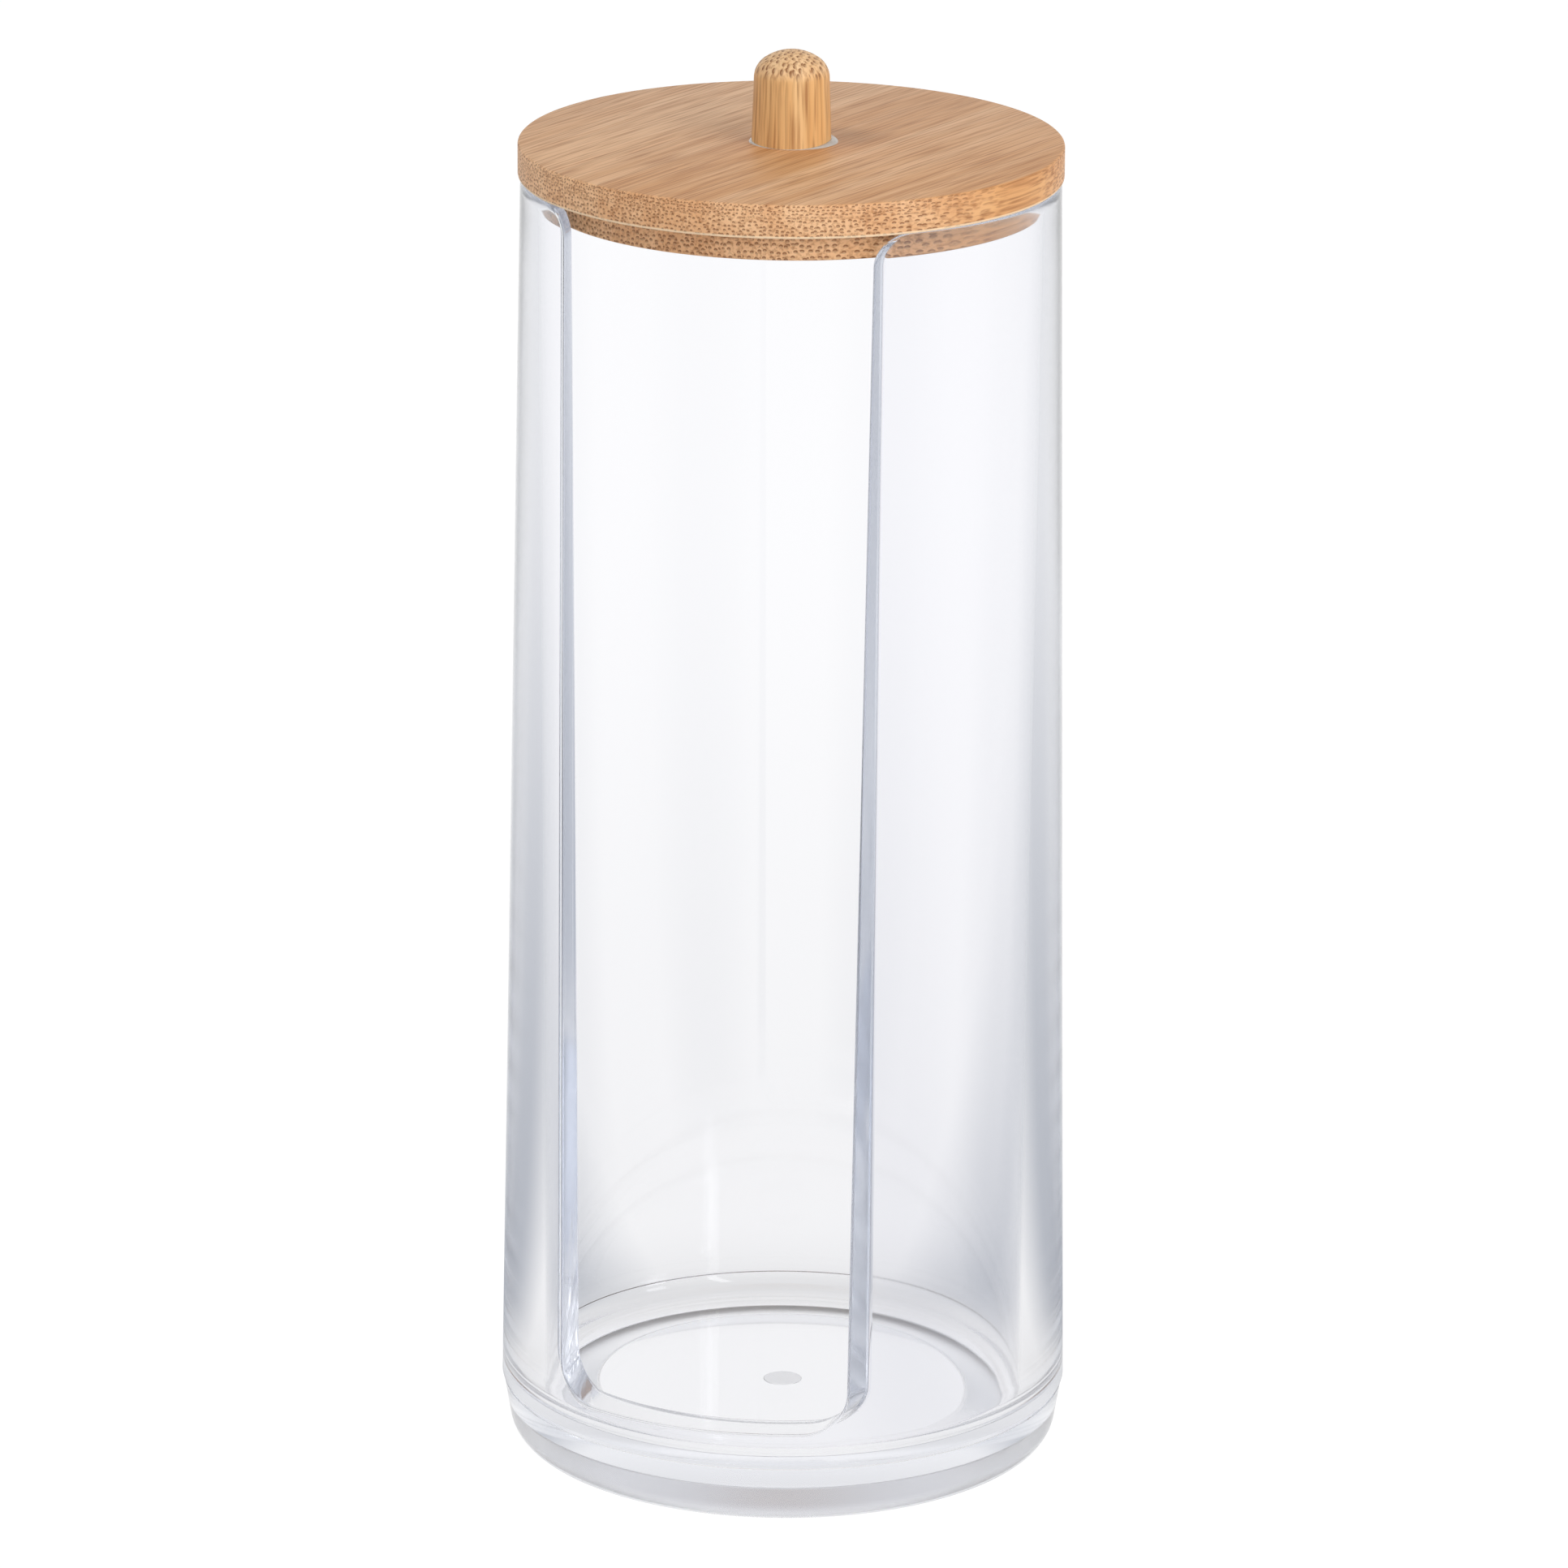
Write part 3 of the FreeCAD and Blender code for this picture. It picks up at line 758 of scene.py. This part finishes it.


# %% Bamboo for the lid and the knob
# Spacing is that of the bundles, a zone is (height, coarser spacing), a strip is (width, shift),
# and the last key is the height of the painted highlight along the lower edge of the rim, all in mm.
LID_LOOK = {
    "grain": (0, 0, math.radians(-75)), "spacing": 0.47, "zones": ((174.3, 0.6), (171.0, 0.8)),
    "strip": (16.2, 26.5), "streak": 0.75, "painted_edge_light": 171.36,
    "ends": ("#D9A576", "#E6B98D"), "sides": ("#CC925B", "#DEA970"), "tops": ("#C99564", "#DCB085")}
KNOB_LOOK = {
    "grain": (0, math.radians(90), 0), "spacing": 0.85, "zones": (),
    "strip": (60, 30), "streak": 0.7, "painted_edge_light": None,
    "ends": ("#DDB17F", "#EAC598"), "sides": ("#D69C5A", "#F0C78F"), "tops": ("#D69C5A", "#F0C78F")}

lid.data.materials.append(make_bamboo("lid_bamboo", LID_LOOK))
knob.data.materials.append(make_bamboo("knob_bamboo", KNOB_LOOK))

# %% [markdown]
# ## Cured glue
# A clear wood glue that has gone milky as it cured, with a soft shine: half of the light still
# goes through it. A fine haze keeps it from looking like white paint.

# %% Make the glue
HAZE_SIZE = 1.2

glue, tree = new_material("cured_glue")
place = add_node(tree, "ShaderNodeTexCoord")
haze = add_node(tree, "ShaderNodeTexNoise", {
    "Vector": place.outputs["Object"], "Scale": 1 / (HAZE_SIZE * MM), "Detail": 3.0})
milk = add_node(tree, "ShaderNodeMix", {
    "Factor": haze.outputs["Fac"], 6: swatch("#E4DDD2"), 7: swatch("#F2EFEA")}, data_type="RGBA")
skin = add_node(tree, "ShaderNodeBsdfPrincipled", {
    "Base Color": milk.outputs[2], "Roughness": 0.25, "IOR": 1.47, "Transmission Weight": 0.5})
add_node(tree, "ShaderNodeOutputMaterial", {"Surface": skin.outputs[0]})
bead.data.materials.append(glue)
print("cured glue:", len(tree.nodes), "nodes")

# %% [markdown]
# ## Studio: what the clear plastic sees
# On plain white a clear piece nearly vanishes. A photographer stands grey cards beside it, and the
# plastic bends their grey into bands along its sides. Real cards would also shade the lid and show
# from other sides. So the cards are painted: four soft grey sectors round the object, paler further
# off, and a little shade on the table behind its foot. Only rays that come through or off
# something glossy see them. To the camera the floor and the world are plain white.

# %% Paint the surround
CARD = "#B6BBC4"
WHITE = "#FFFFFF"


def add_surround(tree, direction):
    """White in four directions round the object, grey cards between them, and shade close to it."""
    facing = add_node(tree, "ShaderNodeMapping", {"Vector": direction, "Rotation": (0, 0, -turn)})
    angle = add_node(tree, "ShaderNodeTexGradient", {"Vector": facing.outputs[0]}, gradient_type="RADIAL")
    four = add_node(tree, "ShaderNodeMath", {
        0: angle.outputs["Fac"], 1: 4 * 2 * math.pi}, operation="MULTIPLY")
    wave = add_node(tree, "ShaderNodeMath", {0: four.outputs[0]}, operation="COSINE")
    cards = add_node(tree, "ShaderNodeMapRange", {
        "Value": wave.outputs[0], "From Min": -0.95, "From Max": 0.3, "To Min": 1.0, "To Max": 0.0})
    away = add_node(tree, "ShaderNodeVectorMath", {0: direction}, operation="LENGTH").outputs["Value"]
    depth = add_node(tree, "ShaderNodeSeparateXYZ", {0: facing.outputs[0]}).outputs["Y"]
    level = {}
    for name, value, start, end, first, last in (
            ("fade", away, 50, 500, 1.0, 0.36), ("clear_of", away, 34, 70, 0.0, 1.0),
            ("under", away, 30, 36, 1.0, 0.0), ("beyond", away, 38, 85, 0.0, 1.0),
            ("before", depth, -10, 25, 1.0, 0.0), ("shade", away, 30, 450, 0.92, 1.0)):
        level[name] = add_node(tree, "ShaderNodeMapRange", {
            "Value": value, "From Min": start * MM, "From Max": end * MM, "To Min": first, "To Max": last},
            interpolation_type="SMOOTHSTEP").outputs[0]
    grey = cards.outputs[0]
    for name in ("fade", "clear_of"):
        grey = add_node(tree, "ShaderNodeMath", {0: grey, 1: level[name]}, operation="MULTIPLY").outputs[0]
    tone = add_node(tree, "ShaderNodeMix", {
        "Factor": grey, 6: swatch(WHITE), 7: swatch(CARD)}, data_type="RGBA")
    open_to = level["under"]
    for name in ("beyond", "before"):
        open_to = add_node(tree, "ShaderNodeMath", {
            0: open_to, 1: level[name]}, operation="MAXIMUM").outputs[0]
    contact = add_node(tree, "ShaderNodeMapRange", {"Value": open_to, "To Min": 0.85, "To Max": 1.0})
    shade = add_node(tree, "ShaderNodeMath", {
        0: contact.outputs[0], 1: level["shade"]}, operation="MULTIPLY")
    shaded = add_node(tree, "ShaderNodeVectorMath", {
        0: tone.outputs[2], "Scale": shade.outputs[0]}, operation="SCALE")
    return shaded.outputs[0]


def add_ray_kinds(tree):
    """Sockets that are 1 for rays from the camera, and for rays through or off something glossy."""
    rays = add_node(tree, "ShaderNodeLightPath")
    clear = add_node(tree, "ShaderNodeMath", {
        0: rays.outputs["Is Glossy Ray"], 1: rays.outputs["Is Transmission Ray"]}, operation="MAXIMUM")
    return rays.outputs["Is Camera Ray"], clear.outputs[0]


# %% [markdown]
# ## Studio: floor, world and lamps
# The floor is white paper. The camera sees its own white with the shadow on it, and diffuse light
# bounces off it as off matt paper. The world is white to the camera and dimmer as a light, so that
# colours come out about as they are written. It is greyer overhead, which draws the edges of the
# rim and the sill. Clear plastic needs many bounces before its inner reflections come to rest.

# %% Lay the floor
FLOOR_REACH = 3.0
FLOOR_GAP = 0.1

bpy.context.scene.view_settings.view_transform = "Standard"
bpy.ops.object.select_all(action="DESELECT")
bpy.ops.mesh.primitive_circle_add(
    vertices=64, radius=FLOOR_REACH, fill_type="NGON", location=(0, 0, -FLOOR_GAP * MM))
floor = bpy.context.object
floor.name = "studio_floor"
paper, tree = new_material("white_paper")
place = add_node(tree, "ShaderNodeTexCoord")
from_camera, through_clear = add_ray_kinds(tree)
matt = add_node(tree, "ShaderNodeBsdfDiffuse", {"Color": swatch("#F4F4F4")})
white = add_node(tree, "ShaderNodeEmission", {"Color": swatch("#F8F8F8"), "Strength": 1.0})
catch = add_node(tree, "ShaderNodeBsdfDiffuse", {"Color": swatch("#626262")})
seen = add_node(tree, "ShaderNodeAddShader", {0: white.outputs[0], 1: catch.outputs[0]})
surround = add_surround(tree, place.outputs["Object"])
through = add_node(tree, "ShaderNodeEmission", {"Color": surround, "Strength": 1.0})
both = add_node(tree, "ShaderNodeMixShader", {0: from_camera, 1: matt.outputs[0], 2: seen.outputs[0]})
both = add_node(tree, "ShaderNodeMixShader", {0: through_clear, 1: both.outputs[0], 2: through.outputs[0]})
add_node(tree, "ShaderNodeOutputMaterial", {"Surface": both.outputs[0]})
floor.data.materials.append(paper)
print("floor:", FLOOR_REACH, "m round, paper of", len(tree.nodes), "nodes")

# %% Set up the world
OVERHEAD = "#8E949F"
AMBIENT = 0.45
BOUNCES = 48

world = bpy.data.worlds.new("white_studio")
bpy.context.scene.world = world
world.use_nodes = True
tree = world.node_tree
tree.nodes.clear()
place = add_node(tree, "ShaderNodeTexCoord")
from_camera, through_clear = add_ray_kinds(tree)
seen = add_node(tree, "ShaderNodeMath", {0: from_camera, 1: through_clear}, operation="MAXIMUM")
height = add_node(tree, "ShaderNodeSeparateXYZ", {0: place.outputs["Generated"]})
overhead = add_node(tree, "ShaderNodeMapRange", {
    "Value": height.outputs["Z"], "From Min": 0.1, "From Max": 0.9, "To Min": 0.0, "To Max": 0.42},
    interpolation_type="SMOOTHSTEP")
surround = add_surround(tree, place.outputs["Generated"])
sky = add_node(tree, "ShaderNodeMix", {
    "Factor": overhead.outputs[0], 6: surround, 7: swatch(OVERHEAD)}, data_type="RGBA")
around = add_node(tree, "ShaderNodeMix", {
    "Factor": through_clear, 6: swatch(WHITE), 7: sky.outputs[2]}, data_type="RGBA")
soft = add_node(tree, "ShaderNodeBackground", {"Color": swatch(WHITE), "Strength": AMBIENT})
white = add_node(tree, "ShaderNodeBackground", {"Color": around.outputs[2], "Strength": 1.0})
both = add_node(tree, "ShaderNodeMixShader", {0: seen.outputs[0], 1: soft.outputs[0], 2: white.outputs[0]})
add_node(tree, "ShaderNodeOutputWorld", {"Surface": both.outputs[0]})
bpy.context.scene.cycles.max_bounces = BOUNCES
bpy.context.scene.cycles.transmission_bounces = BOUNCES
bpy.context.scene.cycles.glossy_bounces = BOUNCES
print("world:", len(tree.nodes), "nodes,", BOUNCES, "bounces")

# %% Set the lamps
AIM_HEIGHT = 0.1
LAMP_DISTANCE = 1.2


def add_softbox(name, azimuth, elevation, width, height, power):
    """A soft light that faces the middle of the object; azimuth is counted from the camera's."""
    a = math.radians(CAMERA_TURN + azimuth)
    e = math.radians(elevation)
    toward = (math.sin(a) * math.cos(e), -math.cos(a) * math.cos(e), math.sin(e))
    bpy.ops.object.light_add(type="AREA", location=[d * LAMP_DISTANCE for d in toward])
    lamp = bpy.context.object
    lamp.name = name
    lamp.location.z += AIM_HEIGHT
    lamp.rotation_euler = (math.radians(90) - e, 0, a)
    lamp.data.shape = "RECTANGLE"
    lamp.data.size = width
    lamp.data.size_y = height
    lamp.data.energy = power
    print(name, power, "W")
    return lamp


key = add_softbox("key_softbox", 45, 25, 1.0, 0.8, 9)
fill = add_softbox("left_softbox", -70, 55, 0.4, 0.4, 4)
for lamp in (key, fill):
    lamp.visible_glossy = False
    lamp.visible_transmission = False
add_softbox("strip_light", 36, 25, 0.12, 0.9, 0.9)

# %% [markdown]
# ## Put the pieces on the frame
# Each piece stands for its solid and rides on that solid's body. The clear tube casts no shadow of
# its own, because a shadow ray can't bend through the wall and would make it as dark as wood.

# %% Hand the pieces over
for piece, body, node, slot in (
        (tube, "holder", "holder_body", "clear_polystyrene"),
        (lid, "lid", "lid", "lid_bamboo"),
        (knob, "lid", "knob", "knob_bamboo"),
        (bead, "lid", "glue_bead", "cured_glue")):
    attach(piece, body)
    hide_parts(node)
tube.visible_shadow = False
